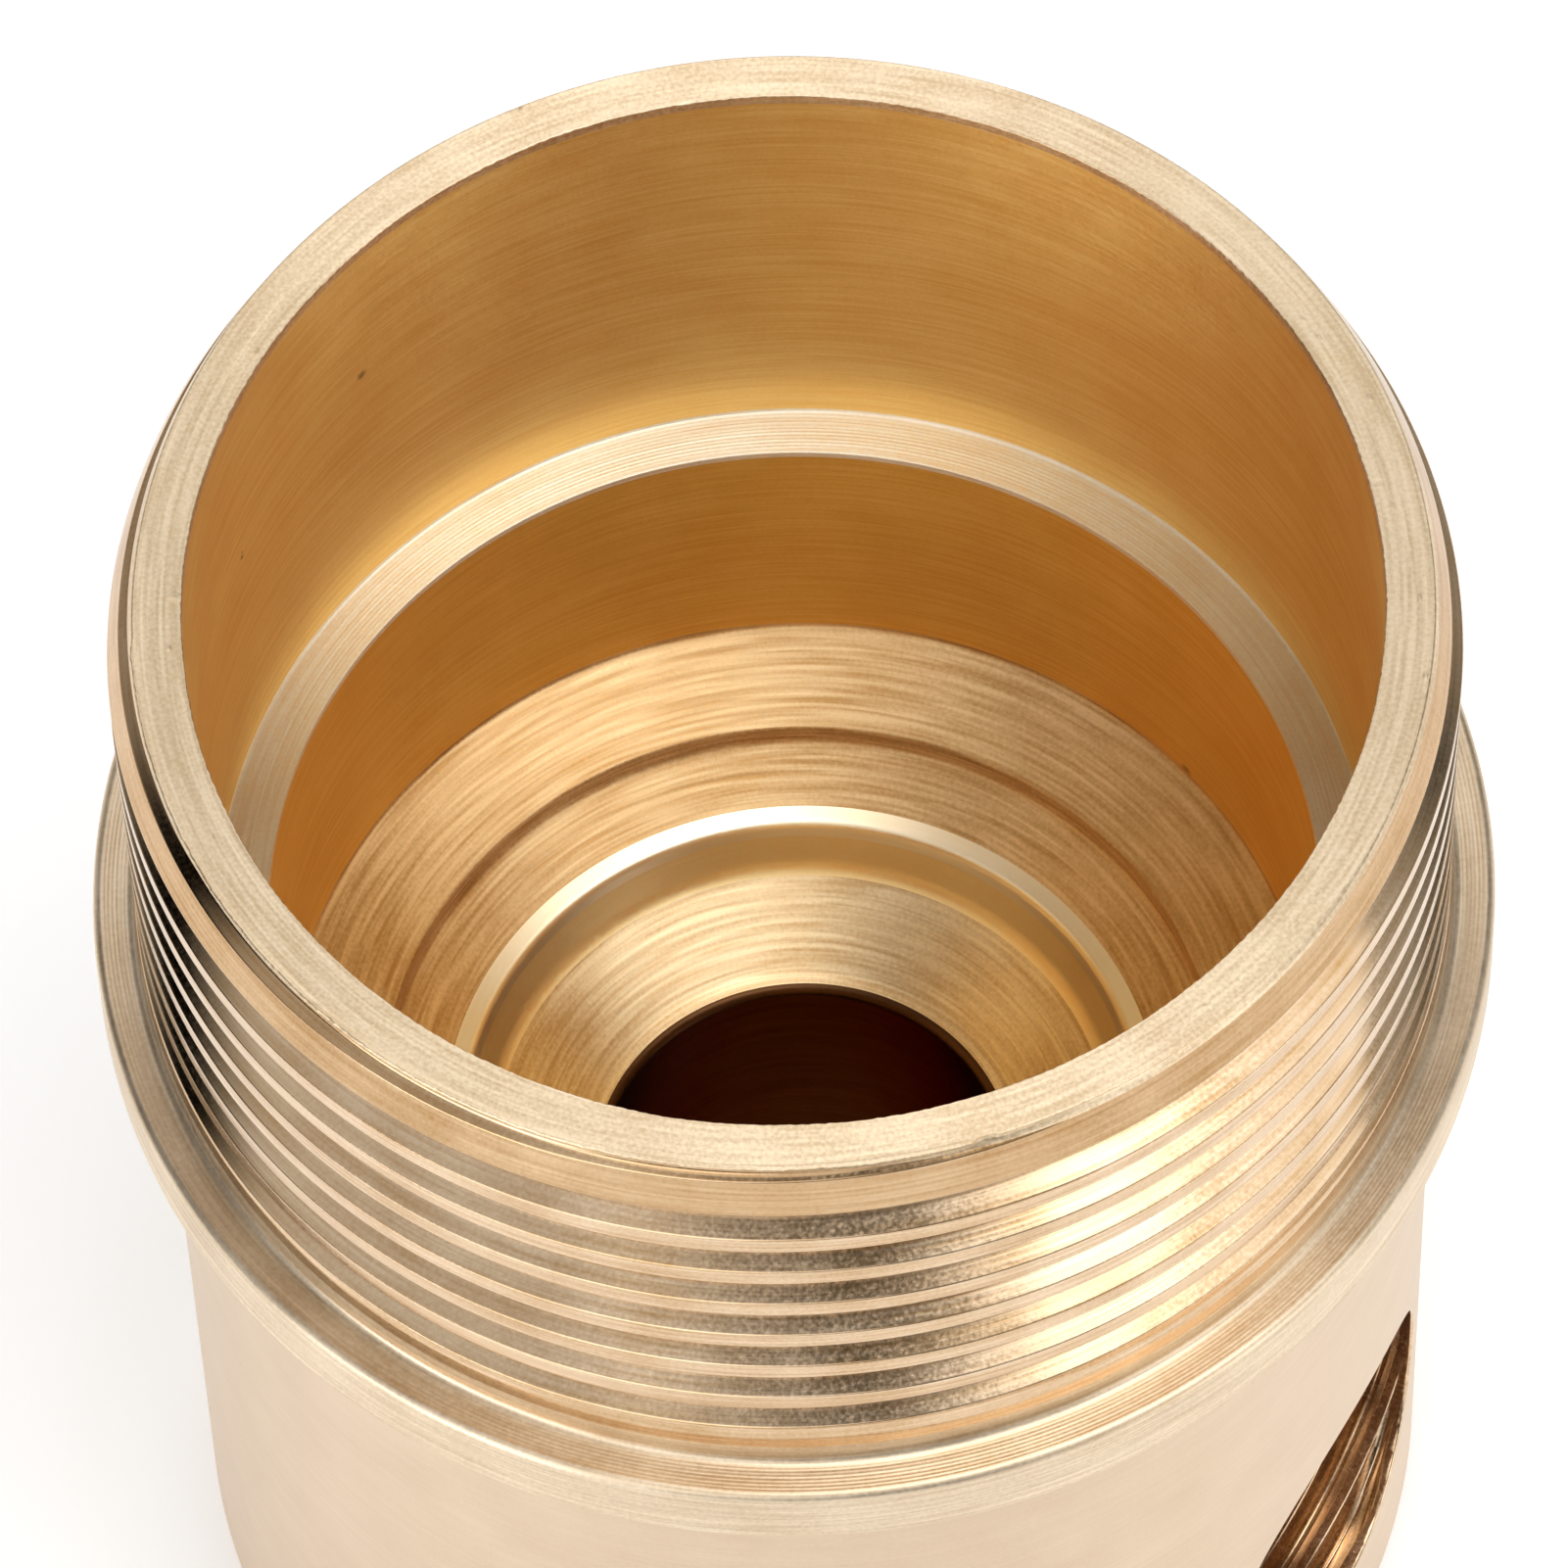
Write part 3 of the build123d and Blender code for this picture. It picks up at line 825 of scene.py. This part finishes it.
piece("through_bore", [
    (turned(top, thr_cols), grid(len(top), NT)),
    (mid, grid(TV + 1, len(mid_cols), closed=False)),
    (thr_patch, facing(thr_patch, grid(len(thr_patch), K), to_axis)),
    (turned(low, thr_cols), grid(len(low), NT)),
], mat_through_painted_shade)

# -------------------------------------------------------------------- stage
floor_mesh = bpy.data.meshes.new("floor")
s = 3.0
floor_mesh.from_pydata([(-s, -s, 0), (s, -s, 0), (s, s, 0), (-s, s, 0)], [], [(0, 1, 2, 3)])
floor = bpy.data.objects.new("floor", floor_mesh)
bpy.context.scene.collection.objects.link(floor)
fm, ft = material("floor_paper")
g = Net(ft)
fo = g.node("ShaderNodeOutputMaterial")
fb = g.node("ShaderNodeBsdfDiffuse")
fb.inputs[0].default_value = (0.93, 0.93, 0.93, 1)
fe = g.node("ShaderNodeEmission")
fe.inputs["Strength"].default_value = 0.30
fa = g.node("ShaderNodeAddShader")
g.link(fb.outputs[0], fa.inputs[0])
g.link(fe.outputs[0], fa.inputs[1])
g.link(fa.outputs[0], fo.inputs[0])
floor_mesh.materials.append(fm)

world = bpy.data.worlds.new("studio")
bpy.context.scene.world = world
world.use_nodes = True
wt = world.node_tree
wt.nodes.clear()
g = Net(wt)
wo = g.node("ShaderNodeOutputWorld")
bg = g.node("ShaderNodeBackground")
g.link(bg.outputs[0], wo.inputs[0])
direction = g.node("ShaderNodeTexCoord").outputs["Generated"]


# lamps of the studio: azimuth, elevation, radius in degrees, brightness, softness of the edge
LAMPS = [
    (331, 36, 35, 0.36, 0.25), (336, 73, 17, 1.62, 0.06), (339, 53, 18, 0.62, 0.06), (290, 84, 13, 1.75, 0.20),
    (88, 42, 18, 1.38, 0.25), (92, 68, 14, 0.62, 0.25), (256, 42, 18, 0.70, 0.25), (222, 0, 18, 4.10, 0.25),
    (324, 0, 18, 1.80, 0.25), (207, 48, 25, 0.46, 0.25), (242, 30, 18, 0.90, 0.25), (140, 4, 30, 0.30, 0.25),
    (35, 4, 30, 0.26, 0.25), (272, 62, 20, 0.10, 0.30),
]
EXPOSURE = 1.36
level = 0.0
for az, el, size, bright, soft in LAMPS:
    a, e = math.radians(az), math.radians(el)
    dot = g.node("ShaderNodeVectorMath", operation="DOT_PRODUCT")
    g.link(direction, dot.inputs[0])
    dot.inputs[1].default_value = (math.cos(e) * math.cos(a), math.cos(e) * math.sin(a), math.sin(e))
    angle = g.math("ARCCOSINE", dot.outputs["Value"])
    lamp = g.smooth(angle, math.radians((1 - soft) * size), math.radians((1 + soft) * size), bright, 0.0)
    level = g.math("ADD", lamp, level)
level = g.math("MULTIPLY", level, EXPOSURE)
# the camera itself meets a plain pale backdrop beyond the floor's edge
direct = g.node("ShaderNodeLightPath").outputs["Is Camera Ray"]
level = g.math("ADD", g.math("MULTIPLY", level, g.math("SUBTRACT", 1.0, direct)), direct)
g.link(level, bg.inputs["Strength"])
bg.inputs["Color"].default_value = (1.0, 1.0, 1.0, 1)

# ------------------------------------------------------------------- camera
cam_data = bpy.data.cameras.new("camera")
cam = bpy.data.objects.new("camera", cam_data)
bpy.context.scene.collection.objects.link(cam)
UNIT = 0.021113
F, D, EL = 12256.152, 19.938718, 1.02109453
DP, DY, ROLL = 0.01557426, 0.00048943, -0.03628599
cam_data.sensor_fit = "HORIZONTAL"
cam_data.sensor_width = 36.0
cam_data.sensor_height = 36.0
cam_data.lens = F / 1601.0 * 36.0
cam_data.clip_start = 0.01
cam_data.clip_end = 20.0


def turn_x(a):
    return np.array([[1, 0, 0], [0, math.cos(a), -math.sin(a)], [0, math.sin(a), math.cos(a)]])


def turn_y(a):
    return np.array([[math.cos(a), 0, math.sin(a)], [0, 1, 0], [-math.sin(a), 0, math.cos(a)]])


def turn_z(a):
    return np.array([[math.cos(a), -math.sin(a), 0], [math.sin(a), math.cos(a), 0], [0, 0, 1]])


fw = np.array([0, math.cos(EL), -math.sin(EL)])
right = np.array([1.0, 0, 0])
down = np.cross(fw, right)
R = turn_z(ROLL) @ turn_y(DY) @ turn_x(DP) @ np.stack([right, down, fw])
loc = np.array([0, -D * math.cos(EL), D * math.sin(EL)]) * UNIT + np.array([0, 0, 0.060])
m = Matrix.Identity(4)
for i in range(3):
    m[i][0], m[i][1], m[i][2], m[i][3] = R[0][i], -R[1][i], -R[2][i], loc[i]
cam.matrix_world = m
bpy.context.scene.camera = cam
bpy.context.scene.view_settings.view_transform = "Standard"
bpy.context.scene.cycles.glossy_bounces = 8      # the bores glow by reflecting one another
